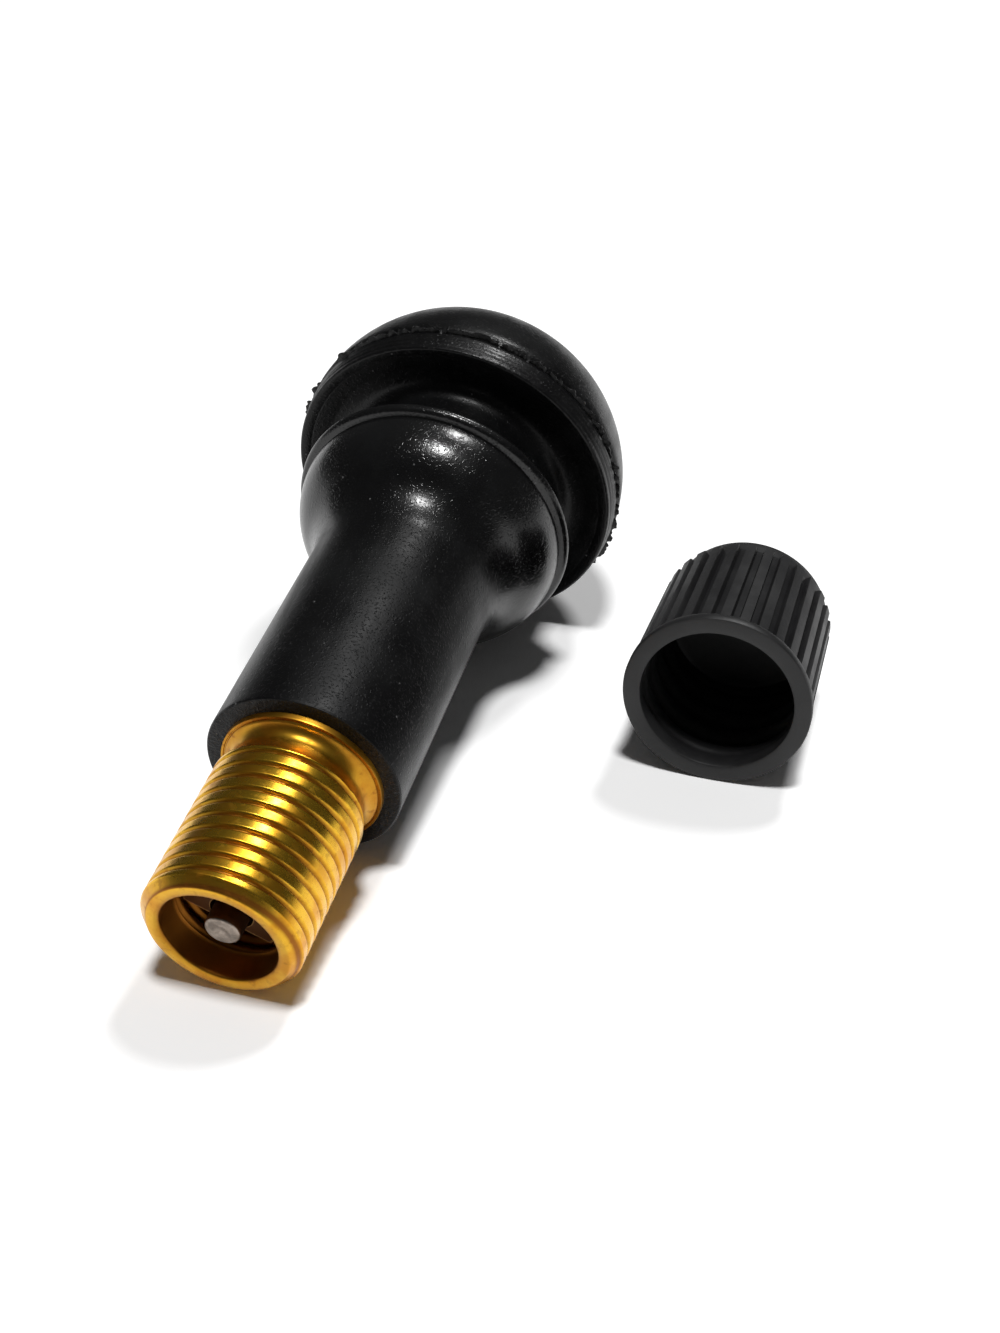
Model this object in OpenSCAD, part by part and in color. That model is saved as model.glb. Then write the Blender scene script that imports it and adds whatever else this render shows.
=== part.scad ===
// Snap-in tyre valve lying on a flat surface, with its dust cap taken off and set down beside it.
// Lengths are in millimetres. A valve piece is drawn upright on the base of the head, mouth up,
// and the cap on its own mouth. Both are then laid down on the surface, which is z = 0.

/* [Valve] */
// Length from the base of the head to the mouth of the stem
valve_length = 42.5; // [40:0.5:62]
// Length of brass that stands out of the rubber
stem_exposed = 10.25; // [9.5:0.05:12]

/* [Rubber body] */
// Diameter of the head at the parting line
head_d = 18.8; // [17.6:0.1:21]
// Height of the parting line above the base
parting_h = 7.5; // [6.8:0.1:8.2]
// Radius of the rounding between the parting line and the base
head_round = 8.7; // [8.4:0.1:9.2]
// How far the moulding flash stands proud of the head
flash_h = 0.1; // [0.05:0.01:0.3]
// Thickness of the moulding flash at its root
flash_t = 0.3; // [0.1:0.05:0.5]
// Diameter of the sealing lip at its front edge
lip_d = 18.4; // [17.2:0.1:18.6]
// Height of the lip's front edge above the base
lip_h = 9; // [8.6:0.1:9.6]
// Rounding of the lip's front edge
lip_round = 0.15; // [0.05:0.05:0.3]
// How far the sealing face dips inside the lip
lip_hollow = 0.5; // [0.2:0.05:0.8]
// Diameter of the inner edge of the sealing face
sealing_d = 15.2; // [14.6:0.1:16.4]
// Diameter of the groove that seats in the rim hole
groove_d = 12.3; // [11:0.1:12.8]
// Rounding at the foot of the groove
groove_round = 0.9; // [0.3:0.1:1]
// Height of the straight wall and rounding of the groove
groove_wall = 2.4; // [2:0.1:2.8]
// Diameter of the retaining ring
ring_d = 15.6; // [14.8:0.1:17]
// Height of the retaining ring above the base
ring_h = 12.4; // [12:0.1:12.6]
// Rounding of the retaining ring
ring_round = 0.35; // [0.2:0.05:0.4]
// Depth of the crease between ring and shoulder
crease = 0.08; // [0.04:0.01:0.2]
// Diameter of the shoulder
shoulder_d = 14.8; // [14.2:0.1:16]
// Height of the shoulder above the base
shoulder_h = 13; // [13:0.1:14]
// Height of the flare from the shoulder to the sleeve
flare_h = 5.5; // [4:0.1:8]
// Diameter of the sleeve round the stem
sleeve_d = 9.9; // [9.4:0.1:11]
// Rounding of the sleeve's end
sleeve_round = 0.25; // [0.1:0.05:0.4]
// Width of the countersink at the air inlet in the base
inlet_sink = 0.7; // [0.2:0.1:1.2]

/* [Brass stem] */
// Crest diameter of the outer thread
thread_d = 7.7; // [7.4:0.05:8]
// Pitch of the outer thread
thread_pitch = 0.794; // [0.7:0.002:0.95]
// Depth of the outer thread below its rounded crests
thread_depth = 0.18; // [0.08:0.02:0.4]
// Width of a flat crest of the outer thread
crest_w = 0.42; // [0.1:0.02:0.5]
// Width of the bottom of a groove of the outer thread
root_w = 0.06; // [0.02:0.02:0.2]
// Length of the outer thread with its chamfers
thread_len = 8.75; // [7.5:0.05:8.9]
// Diameter of the neck below the outer thread
neck_d = 6.8; // [6.6:0.05:7]
// Outer diameter of the mouth's end face
mouth_d = 6.72; // [6.4:0.02:7]
// Diameter of the collar against the rubber
collar_d = 8.2; // [7.9:0.05:8.6]
// How far the collar stands out of the rubber
collar_rim = 0.3; // [0.1:0.05:0.4]
// How far the collar is sunk in the rubber
collar_sunk = 0.9; // [0.5:0.1:2]
// Diameter of the shank that the rubber is bonded to
shank_d = 6.6; // [6.2:0.1:7]
// Depth of the keying grooves in the shank
key_depth = 0.3; // [0.1:0.05:0.5]
// Width of a keying groove
key_w = 1.2; // [0.6:0.1:1.6]
// Pitch of the keying grooves
key_pitch = 3; // [2.2:0.1:3.6]
// Number of keying grooves
key_count = 4; // [1:1:5]
// Diameter of the foot in the head
foot_d = 9.2; // [8:0.1:11]
// Thickness of the foot
foot_t = 1.4; // [0.8:0.1:2]
// Height of the foot above the base
foot_h = 3; // [2:0.1:4]
// Diameter of the bore at the mouth
mouth_bore_d = 5.58; // [5.5:0.02:5.8]
// Depth of the bore at the mouth
mouth_bore_len = 1.5; // [0.8:0.1:3]
// Diameter of the air passage below the core's seat
passage_d = 3.8; // [3.7:0.05:4]

/* [Valve core] */
// Depth of the ears of the plug below the mouth
ear_depth = 1.6; // [1.2:0.1:2.2]
// Height of the ears above the threaded ring
ear_h = 3; // [2.4:0.1:3.4]
// Thickness of the ears across the flats
ear_w = 1.7; // [1.2:0.1:2]
// How far the ears are rooted in the threaded ring
ear_root = 1; // [0.5:0.1:1.4]
// Outer diameter of the two ears
ear_d = 4.8; // [4.4:0.1:5]
// Angle of the ears about the stem's axis, seen from the mouth
ear_turn = -26; // [-90:1:90]
// Diameter of the plug's thread
plug_d = 5.2; // [5:0.02:5.3]
// Length of the plug's thread
plug_len = 4.2; // [3.8:0.1:4.6]
// Play round the plug in the stem
plug_play = 0.05; // [0.03:0.01:0.1]
// Diameter of the hollow in the plug
plug_hollow_d = 3.9; // [3.8:0.05:4.1]
// Thickness of the lip that the barrel swivels in
swivel_lip = 0.7; // [0.4:0.1:1]
// Play of the swivel
swivel_play = 0.1; // [0.05:0.01:0.15]
// Diameter of the barrel's neck in the swivel
barrel_neck_d = 2.84; // [2.8:0.02:3]
// Diameter of the flared end of the neck
barrel_flare_d = 3.5; // [3.3:0.05:3.6]
// Thickness of the flared end
barrel_flare_t = 0.5; // [0.3:0.1:0.6]
// Diameter of the shoulder above the barrel's gasket
barrel_shoulder_d = 4.1; // [3.9:0.05:4.2]
// Thickness of that shoulder
barrel_shoulder_t = 0.6; // [0.4:0.1:0.8]
// Bore of the barrel's gasket
gasket_bore_d = 3; // [2.9:0.05:3.2]
// Length of the barrel's gasket
gasket_len = 2.5; // [2:0.1:3]
// How much the gasket widens towards the mouth
gasket_taper = 0.6; // [0.4:0.05:0.7]
// Play between the gasket and its seat in the stem
seat_play = 0.04; // [0.02:0.01:0.06]
// Thickness of the flange below the gasket
barrel_flange_t = 0.5; // [0.3:0.1:0.8]
// Play between that flange and the air passage
flange_play = 0.15; // [0.1:0.01:0.2]
// Diameter of the barrel's tail
tail_d = 3.2; // [3.1:0.05:3.3]
// Length of the barrel's tail
tail_len = 3.4; // [3:0.1:5]
// Bore of the barrel
barrel_bore_d = 2.3; // [2.24:0.02:2.4]
// Height of the spring's ledge above the end of the tail
ledge_h = 1.5; // [1.2:0.1:2]
// Thickness of the spring's ledge
ledge_t = 0.6; // [0.4:0.1:0.9]
// Bore of the spring's ledge
ledge_d = 1.5; // [1.4:0.05:1.6]
// Width of the sealing rim at the end of the tail
rim_w = 0.25; // [0.15:0.05:0.35]
// Depth of the pin's end below the mouth
pin_recess = 0.45; // [0.2:0.05:0.9]
// Diameter of the pin's head
pin_d = 1.75; // [1.7:0.05:1.8]
// Length of the pin's head
pin_head_len = 5.95; // [5.6:0.05:6.6]
// Rounding of the pin's end
pin_round = 0.2; // [0.1:0.05:0.4]
// Play of the pin between the ears
pin_play = 0.12; // [0.08:0.01:0.2]
// Diameter of the pin below its head
shaft_d = 1; // [0.9:0.05:1.1]
// Wire diameter of the spring
wire_d = 0.28; // [0.2:0.02:0.32]
// Mean diameter of the spring
coil_d = 1.56; // [1.5:0.02:1.6]
// Turns of the spring
coil_turns = 9; // [6:1:12]
// Diameter of the cup
cup_d = 3.2; // [3:0.05:3.4]
// Length of the cup
cup_len = 1.4; // [1:0.1:2]
// Wall of the cup
cup_wall = 0.15; // [0.1:0.05:0.25]
// Floor of the cup
cup_floor = 0.35; // [0.2:0.05:0.6]
// How far the cup's gasket stands out of the cup
cup_gasket_rise = 0.3; // [0.2:0.05:0.5]
// Diameter of the riveted end of the pin
rivet_d = 1.6; // [1.4:0.1:2]
// Length of the riveted end of the pin
rivet_len = 0.5; // [0.3:0.1:0.8]

/* [Dust cap] */
// Length of the cap
cap_len = 9.6; // [9:0.1:12]
// Diameter of the flange at the mouth
cap_flange_d = 9.8; // [9.7:0.05:11]
// Thickness of the flange
cap_flange_t = 0.55; // [0.3:0.05:1]
// Diameter over the ribs at the flange
cap_rib_d = 9.6; // [9.4:0.05:9.7]
// How much the ribs draw in towards the top, in diameter
cap_draft = 0.3; // [0.1:0.05:0.4]
// Depth of the grooves between the ribs
rib_depth = 0.35; // [0.2:0.05:0.4]
// Width of a rib
rib_w = 0.55; // [0.4:0.05:0.7]
// Number of ribs, an even count
rib_count = 30; // [20:2:32]
// Length of the plain edge past the ribs
rib_gap = 0.6; // [0.3:0.1:1]
// Chamfer round the top
cap_chamfer = 0.1; // [0.05:0.05:0.25]
// Thickness of the top
cap_top_t = 1.6; // [1:0.1:2]
// Diameter of the cap's bore
cap_bore_d = 7.94; // [7.84:0.02:8.04]

/* [Layout] */
// Distance of the cap's axis to the side of the valve
cap_side = 17.6; // [15:0.1:30]
// Distance of the cap's mouth behind the mouth of the stem
cap_back = 22.45; // [5:0.05:30]

/* [Hidden] */
$fn = 96;
arc_steps = 12;
wire_sides = 8;
coil_steps = 20;

// Radii that follow from the diameters
flash_r = head_d / 2 + flash_h;
base_r = head_d / 2 - head_round + sqrt(pow(head_round, 2) - pow(parting_h, 2));
plug_bore_r = plug_d / 2 + plug_play;
flange_r = passage_d / 2 - flange_play;
gasket_r = passage_d / 2 - seat_play;
seat_rise = gasket_taper / 2;
guide_r = pin_d / 2 + pin_play;
cap_root_r = cap_rib_d / 2 - rib_depth;

// Heights above the base of the head
sleeve_top = valve_length - stem_exposed;
groove_foot = lip_h - lip_hollow;
collar_top = sleeve_top + collar_rim;
thread_chamfer = (thread_d - mouth_d) / 2;
crest_top = valve_length - thread_chamfer;

// Two equal arcs make the flare: one turns out of the sleeve, the other into the shoulder
flare_rise = (shoulder_d - sleeve_d) / 2;
flare_angle = 2 * atan(flare_rise / flare_h);
flare_round = flare_h / (2 * sin(flare_angle));

// Depths below the mouth, from the plug down to the end of the pin
ring_depth = ear_depth + ear_h;
plug_end = ring_depth + plug_len;
swivel_depth = plug_end - swivel_lip;
shoulder_depth = plug_end + swivel_play;
gasket_depth = shoulder_depth + barrel_shoulder_t;
flange_depth = gasket_depth + gasket_len;
tail_depth = flange_depth + barrel_flange_t;
rim_depth = tail_depth + tail_len;
ledge_depth = rim_depth - ledge_h;
pin_shoulder = pin_recess + pin_head_len;
cup_depth = rim_depth + cup_gasket_rise;
cup_end = cup_depth + cup_len;
pin_end = cup_end + rivet_len;

// The valve rests on its flash and on the first crest of its thread
valve_tilt = atan((flash_r - thread_d / 2) / (crest_top - parting_h));
valve_y = (valve_length * cos(valve_tilt) + (mouth_d / 2 - base_r) * sin(valve_tilt)) / 2;
valve_z = flash_r * cos(valve_tilt) + parting_h * sin(valve_tilt);
valve_x = (flash_r - cap_side - cap_flange_d / 2) / 2;

// The cap rests on its flange and on the far end of its ribs
rib_end = cap_len - rib_gap;
rib_end_r = (cap_rib_d - cap_draft) / 2;
cap_tilt = atan((cap_flange_d / 2 - rib_end_r) / (rib_end - cap_flange_t));
cap_y = valve_y - valve_length * cos(valve_tilt) + cap_back;
cap_z = cap_flange_d / 2 * cos(cap_tilt) + cap_flange_t * sin(cap_tilt);

// Height of a point that lies a given depth below the mouth
function at(depth) = valve_length - depth;

// Points of an arc in the plane of a section
function arc(centre, r, from, to) = [
    for (i = [0:arc_steps])
        let (a = from + (to - from) * i / arc_steps)
            centre + r * [cos(a), sin(a)]
];

// Outline of the rubber without its hollow, from the base up to the sleeve's end
rubber_outline = concat(
    [[0, 0]],
    arc([head_d / 2 - head_round, parting_h], head_round,
        -asin(parting_h / head_round), -asin(flash_t / 2 / head_round)),
    [[flash_r, parting_h], [head_d / 2, parting_h + flash_t / 2]],
    arc([lip_d / 2 - lip_round, lip_h - lip_round], lip_round, 0, 90),
    [[sealing_d / 2, groove_foot]],
    arc([groove_d / 2 + groove_round, groove_foot + groove_round], groove_round, 270, 180),
    [[groove_d / 2, groove_foot + groove_wall]],
    arc([ring_d / 2 - ring_round, ring_h], ring_round, -45, 75),
    [[shoulder_d / 2 - crease, (ring_h + shoulder_h) / 2 + ring_round / 3]],
    arc([shoulder_d / 2 - flare_round, shoulder_h], flare_round, 0, flare_angle),
    arc([sleeve_d / 2 + flare_round, shoulder_h + flare_h], flare_round, 180 + flare_angle, 180),
    arc([sleeve_d / 2 - sleeve_round, sleeve_top - sleeve_round], sleeve_round, 0, 90),
    [[0, sleeve_top]]
);

// Keying groove of the shank, counted from the foot
function key_groove(i) =
    let (z = foot_h + foot_t + (foot_d - shank_d) / 2 + key_pitch * (i + 0.5))
        [
            [shank_d / 2, z - key_w / 2],
            [shank_d / 2 - key_depth, z - key_w / 2 + key_depth],
            [shank_d / 2 - key_depth, z + key_w / 2 - key_depth],
            [shank_d / 2, z + key_w / 2]
        ];

// Groove of the outer thread, counted from the neck: the crests stand as rings at the thread's pitch
crest_foot = at(thread_len) + (thread_d - neck_d) / 2;
groove_count = floor((crest_top - crest_foot) / thread_pitch);
function thread_groove(i) =
    let (
        z = (crest_foot + crest_top) / 2 + thread_pitch * (i - (groove_count - 1) / 2),
        half_w = (thread_pitch - crest_w) / 2,
        root_r = thread_d / 2 - thread_depth
    )
        [
            [thread_d / 2, z - half_w],
            [root_r, z - root_w / 2],
            [root_r, z + root_w / 2],
            [thread_d / 2, z + half_w]
        ];

// Outline of the brass without its bore, from the foot up to the mouth
neck_round = (collar_d - neck_d) / 2;
stem_outline = concat(
    [
        [0, foot_h],
        [foot_d / 2, foot_h],
        [foot_d / 2, foot_h + foot_t],
        [shank_d / 2, foot_h + foot_t + (foot_d - shank_d) / 2]
    ],
    [for (i = [0:key_count - 1]) each key_groove(i)],
    [
        [shank_d / 2, sleeve_top - collar_sunk],
        [collar_d / 2, sleeve_top - collar_sunk]
    ],
    arc([collar_d / 2, collar_top + neck_round], neck_round, 270, 180),
    [
        [neck_d / 2, at(thread_len)],
        [thread_d / 2, crest_foot]
    ],
    [for (i = [0:groove_count - 1]) each thread_groove(i)],
    [
        [thread_d / 2, crest_top],
        [mouth_d / 2, valve_length],
        [0, valve_length]
    ]
);

// Outline of the stem's bore: mouth, core thread, core seat and air passage
bore_outline = [
    [0, 0],
    [passage_d / 2, 0],
    [passage_d / 2, at(flange_depth)],
    [passage_d / 2 + seat_rise, at(gasket_depth)],
    [plug_bore_r, at(gasket_depth) + plug_bore_r - passage_d / 2 - seat_rise],
    [plug_bore_r, at(mouth_bore_len)],
    [mouth_bore_d / 2, at(mouth_bore_len) + mouth_bore_d / 2 - plug_bore_r],
    [mouth_bore_d / 2, valve_length + mouth_bore_len],
    [0, valve_length + mouth_bore_len]
];

// Countersunk hole in the base, below the foot of the stem
inlet_outline = [
    [0, -inlet_sink],
    [passage_d / 2 + 2 * inlet_sink, -inlet_sink],
    [passage_d / 2, inlet_sink],
    [passage_d / 2, foot_h],
    [0, foot_h]
];

// Lays an upright valve piece on the surface, mouth towards -y
module lay_valve() {
    translate([valve_x, valve_y, valve_z]) rotate([90 + valve_tilt, 0, 0]) children();
}

// Lays an upright cap on the surface, mouth towards -y
module lay_cap() {
    translate([valve_x + cap_side, cap_y, cap_z]) rotate([-90 - cap_tilt, 0, 0]) children();
}

// A turned ring between two depths below the mouth
module turned(r_in, r_out, from, to) {
    translate([0, 0, at(to)])
        rotate_extrude() translate([r_in, 0]) square([r_out - r_in, to - from]);
}

module rubber_body() {
    color([0.05, 0.05, 0.055])
    lay_valve() rotate_extrude() difference() {
        polygon(rubber_outline);
        polygon(stem_outline);
        polygon(inlet_outline);
    }
}

module brass_stem() {
    color([0.85, 0.65, 0.2])
    lay_valve() rotate_extrude() difference() {
        polygon(stem_outline);
        polygon(bore_outline);
    }
}

// Threaded ring with two ears for the core tool and a lip that the barrel swivels in
module core_plug() {
    hollow_r = plug_hollow_d / 2;
    lip_r = barrel_neck_d / 2 + swivel_play;
    color([0.8, 0.62, 0.25])
    lay_valve() union() {
        turned(hollow_r, plug_d / 2, ring_depth, plug_end);
        turned(lip_r, plug_d / 2, swivel_depth, plug_end);
        intersection() {
            turned(guide_r, ear_d / 2, ear_depth, ring_depth + ear_root);
            rotate([0, 0, ear_turn])
                translate([-ear_d / 2, -ear_w / 2, at(ring_depth + ear_root)])
                    cube([ear_d, ear_w, ear_h + ear_root]);
        }
    }
}

// Tube that swivels in the plug, carries the gasket and holds the spring
module core_barrel() {
    bore_r = barrel_bore_d / 2;
    barrel_outline = [
        [bore_r, at(swivel_depth - swivel_play - barrel_flare_t)],
        [barrel_flare_d / 2, at(swivel_depth - swivel_play - barrel_flare_t)],
        [barrel_flare_d / 2, at(swivel_depth - swivel_play)],
        [barrel_neck_d / 2, at(swivel_depth - swivel_play)],
        [barrel_neck_d / 2, at(shoulder_depth)],
        [barrel_shoulder_d / 2, at(shoulder_depth)],
        [barrel_shoulder_d / 2, at(gasket_depth)],
        [gasket_bore_d / 2, at(gasket_depth)],
        [gasket_bore_d / 2, at(flange_depth)],
        [flange_r, at(flange_depth)],
        [flange_r, at(tail_depth)],
        [tail_d / 2, at(tail_depth)],
        [tail_d / 2, at(rim_depth) + tail_d / 2 - bore_r - rim_w],
        [bore_r + rim_w, at(rim_depth)],
        [bore_r, at(rim_depth)],
        [bore_r, at(ledge_depth + ledge_t)],
        [ledge_d / 2, at(ledge_depth + ledge_t)],
        [ledge_d / 2, at(ledge_depth)],
        [bore_r, at(ledge_depth)]
    ];
    color([0.78, 0.6, 0.28])
    lay_valve() rotate_extrude() polygon(barrel_outline);
}

// Tapered seal between barrel and stem
module barrel_gasket() {
    color([0.75, 0.12, 0.1])
    lay_valve() rotate_extrude() polygon([
        [gasket_bore_d / 2, at(flange_depth)],
        [gasket_r, at(flange_depth)],
        [gasket_r + seat_rise, at(gasket_depth)],
        [gasket_bore_d / 2, at(gasket_depth)]
    ]);
}

// Stepped pin: the head is pressed, the shoulder bears on the spring, the end holds the cup
module core_pin() {
    head_r = pin_d / 2;
    color([0.75, 0.75, 0.76])
    lay_valve() rotate_extrude() polygon(concat(
        [
            [0, at(pin_end)],
            [rivet_d / 2, at(pin_end)],
            [rivet_d / 2, at(cup_end)],
            [shaft_d / 2, at(cup_end)],
            [shaft_d / 2, at(pin_shoulder)],
            [head_r, at(pin_shoulder)]
        ],
        arc([head_r - pin_round, at(pin_recess + pin_round)], pin_round, 0, 90),
        [[0, at(pin_recess)]]
    ));
}

// Compression spring between the pin's shoulder and the barrel's ledge, end turns closed
module core_spring() {
    spring_len = ledge_depth - pin_shoulder;
    rise = spring_len - wire_d;
    end_turns = 1;
    free_turns = coil_turns - 2 * end_turns;
    free_pitch = (rise - 2 * end_turns * wire_d) / free_turns;
    function climb(t) =
        t < end_turns ? t * wire_d
        : t > coil_turns - end_turns ? rise - (coil_turns - t) * wire_d
        : end_turns * wire_d + (t - end_turns) * free_pitch;
    rings = coil_turns * coil_steps;
    points = [
        for (i = [0:rings], j = [0:wire_sides - 1])
            let (
                turn = 360 * i / coil_steps,
                side = 360 * j / wire_sides,
                reach = (coil_d + wire_d * cos(side)) / 2
            )
                [
                    reach * cos(turn),
                    reach * sin(turn),
                    climb(i / coil_steps) + wire_d / 2 * (1 + sin(side))
                ]
    ];
    walls = [
        for (i = [0:rings - 1], j = [0:wire_sides - 1])
            let (a = i * wire_sides + j, b = i * wire_sides + (j + 1) % wire_sides)
                [a, b, b + wire_sides, a + wire_sides]
    ];
    ends = [
        [for (j = [wire_sides - 1:-1:0]) j],
        [for (j = [0:wire_sides - 1]) rings * wire_sides + j]
    ];
    color([0.6, 0.62, 0.65])
    lay_valve() translate([0, 0, at(ledge_depth)]) polyhedron(points, concat(walls, ends));
}

// Cup on the end of the pin that holds the sealing washer
module core_cup() {
    color([0.8, 0.64, 0.3])
    lay_valve() rotate_extrude() polygon([
        [shaft_d / 2, at(cup_end)],
        [cup_d / 2, at(cup_end)],
        [cup_d / 2, at(cup_depth)],
        [cup_d / 2 - cup_wall, at(cup_depth)],
        [cup_d / 2 - cup_wall, at(cup_end - cup_floor)],
        [shaft_d / 2, at(cup_end - cup_floor)]
    ]);
}

// Sealing washer that closes the end of the barrel
module cup_gasket() {
    color([0.08, 0.08, 0.08])
    lay_valve() turned(shaft_d / 2, cup_d / 2 - cup_wall, rim_depth, cup_end - cup_floor);
}

// Closed cap with a flange, straight ribs that end short of the top, and a threaded bore
module dust_cap() {
    rib_reach = cap_rib_d / 2;
    color([0.16, 0.16, 0.17])
    lay_cap() difference() {
        union() {
            rotate_extrude() polygon([
                [0, 0],
                [cap_flange_d / 2, 0],
                [cap_flange_d / 2, cap_flange_t],
                [cap_root_r, cap_flange_t],
                [cap_root_r - cap_draft / 2, rib_end],
                [cap_root_r - cap_draft / 2, cap_len - cap_chamfer],
                [cap_root_r - cap_draft / 2 - cap_chamfer, cap_len],
                [0, cap_len]
            ]);
            intersection() {
                rotate_extrude() polygon([
                    [0, 0],
                    [rib_reach, 0],
                    [rib_reach, cap_flange_t],
                    [rib_end_r, rib_end],
                    [0, rib_end]
                ]);
                for (i = [0:rib_count / 2 - 1])
                    rotate([0, 0, 90 + i * 360 / rib_count])
                        translate([-rib_reach, -rib_w / 2, 0])
                            cube([2 * rib_reach, rib_w, cap_len]);
            }
        }
        translate([0, 0, -cap_flange_t])
            cylinder(r = cap_bore_d / 2, h = cap_len - cap_top_t + cap_flange_t);
    }
}

rubber_body();
brass_stem();
core_plug();
core_barrel();
barrel_gasket();
core_pin();
core_spring();
core_cup();
cup_gasket();
dust_cap();
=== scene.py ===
# %% [markdown]
# # A snap-in tyre valve and its dust cap
# The real object is a car tyre valve: a brass stem with rubber moulded round it, a small sprung core
# inside the mouth, and a ribbed plastic cap that has been taken off and lies beside it.
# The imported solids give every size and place. This script dresses them: it turns the visible pieces
# again on finer sections, cuts the screw threads that the solids leave plain, and paints everything.
# Sizes are written in millimetres, and MM turns them into Blender's metres.

# %% Load the frame
import math

import bpy
import numpy as np
from mathutils import Matrix, Vector


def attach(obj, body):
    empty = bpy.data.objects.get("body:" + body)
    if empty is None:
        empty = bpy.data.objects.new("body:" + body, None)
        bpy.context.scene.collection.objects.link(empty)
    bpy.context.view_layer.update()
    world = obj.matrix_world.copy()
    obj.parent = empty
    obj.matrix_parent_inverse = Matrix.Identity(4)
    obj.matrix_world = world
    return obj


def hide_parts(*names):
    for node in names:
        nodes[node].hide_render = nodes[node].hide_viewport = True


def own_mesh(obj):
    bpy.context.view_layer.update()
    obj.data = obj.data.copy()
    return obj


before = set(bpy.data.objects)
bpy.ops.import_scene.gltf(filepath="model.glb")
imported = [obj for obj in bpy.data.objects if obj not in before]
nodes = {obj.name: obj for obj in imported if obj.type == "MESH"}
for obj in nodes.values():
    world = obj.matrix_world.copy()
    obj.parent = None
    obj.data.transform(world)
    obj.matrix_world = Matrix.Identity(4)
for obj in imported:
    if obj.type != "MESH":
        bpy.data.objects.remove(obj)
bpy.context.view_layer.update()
MM = 0.001
print("nodes:", sorted(nodes))

# %% [markdown]
# Every turned piece is drawn upright on its own axis and then laid down. The valve rests on the flash
# round its head and on the first crest of its thread, so its tilt follows from those two radii. The cap
# rests on its flange and on the far end of its ribs. These are the same sums as in the part's source,
# so that the dressed pieces land exactly where the solids are. SKIN is how far a drawn skin stays inside
# the solid where the two touch the floor.

# %% Where the valve and the cap lie
LENGTH = 42.5
PARTING, FLASH_R, HEAD_R, HEAD_ROUND = 7.5, 9.5, 9.4, 8.7
THREAD_R, MOUTH_R = 3.85, 3.36
CREST_TOP = LENGTH - (THREAD_R - MOUTH_R)
CAP_LEN, CAP_FLANGE_R, CAP_FLANGE_T = 9.6, 4.9, 0.55
CAP_RIB_END, CAP_RIB_END_R = 9.0, 4.65
CAP_SIDE, CAP_BACK = 17.6, 22.45
SKIN = 0.004

tilt = math.atan((FLASH_R - THREAD_R) / (CREST_TOP - PARTING))
base_r = HEAD_R - HEAD_ROUND + math.sqrt(HEAD_ROUND**2 - PARTING**2)
valve_x = (FLASH_R - CAP_SIDE - CAP_FLANGE_R) / 2
valve_y = (LENGTH * math.cos(tilt) + (MOUTH_R - base_r) * math.sin(tilt)) / 2
valve_z = FLASH_R * math.cos(tilt) + PARTING * math.sin(tilt)
cap_tilt = math.atan((CAP_FLANGE_R - CAP_RIB_END_R) / (CAP_RIB_END - CAP_FLANGE_T))
cap_y = valve_y - LENGTH * math.cos(tilt) + CAP_BACK
cap_z = CAP_FLANGE_R * math.cos(cap_tilt) + CAP_FLANGE_T * math.sin(cap_tilt)


def laid_down(place, turn):
    return Matrix.Translation(Vector(place) * MM) @ Matrix.Rotation(turn, 4, "X")


LAY_VALVE = laid_down((valve_x, valve_y, valve_z), math.pi / 2 + tilt)
LAY_CAP = laid_down((valve_x + CAP_SIDE, cap_y, cap_z), -math.pi / 2 - cap_tilt)
print("tilt", round(math.degrees(tilt), 3), "cap tilt", round(math.degrees(cap_tilt), 3))

# %% [markdown]
# Nodes could be placed and linked one by one, but long sums are hard to read that way. Here they are
# written as plain expressions. One small class holds a socket, and its operators add Math nodes. Its
# method add makes any other node: settings first, then the values or links of its sockets. The same
# class serves the shaders and the Geometry Nodes trees.

# %% A socket with operators
class Socket:
    def __init__(self, tree, out=None, node=None):
        self.tree, self.out, self.node = tree, out, node

    def add(self, kind, sockets=(), out=0, **settings):
        node = self.tree.nodes.new(kind)
        for key, value in settings.items():
            setattr(node, key, value)
        for key, value in dict(sockets).items():
            if isinstance(value, Socket):
                self.tree.links.new(value.out, node.inputs[key])
            else:
                node.inputs[key].default_value = value
        return Socket(self.tree, node.outputs[out], node)

    def at(self, out):
        return Socket(self.tree, self.node.outputs[out], self.node)

    def close(self, kind):
        self.tree.links.new(self.out, self.tree.nodes.new(kind).inputs[0])

    def math(self, operation, *others):
        return self.add("ShaderNodeMath", enumerate((self, *others)), operation=operation)

    def __add__(self, other):
        return self.math("ADD", other)

    def __sub__(self, other):
        return self.math("SUBTRACT", other)

    def __rsub__(self, other):
        return self * -1 + other

    def __mul__(self, other):
        return self.math("MULTIPLY", other)

    def __truediv__(self, other):
        return self.math("DIVIDE", other)

    def __pow__(self, other):
        return self.math("POWER", other)

    __radd__ = __add__
    __rmul__ = __mul__

    def step(self, low, high):
        return self.add("ShaderNodeMapRange", {0: self, 1: low, 2: high}, interpolation_type="SMOOTHSTEP")

    def xyz(self):
        parts = self.add("ShaderNodeSeparateXYZ", {0: self})
        return parts, parts.at(1), parts.at(2)


# %% [markdown]
# A lathe makes most of this object, as on the real bench. The Screw modifier could turn a section too,
# but here each point also carries masks. The section is a list of radius and height, walked with the
# material on its left, so that the faces point outwards. A point on the axis makes one vertex, so the
# poles are closed. A mask is a number for each point of the section, kept as a vertex attribute, which
# tells a node tree where it may cut or a paint where it changes.

# %% The lathe
def arc(centre, r, start, end, steps):
    turns = np.radians(np.linspace(start, end, steps + 1))
    return [(centre[0] + r * math.cos(a), centre[1] + r * math.sin(a)) for a in turns]


def line(a, b, steps):
    return [(a[0] + (b[0] - a[0]) * i / steps, a[1] + (b[1] - a[1]) * i / steps) for i in range(steps + 1)]


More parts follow.
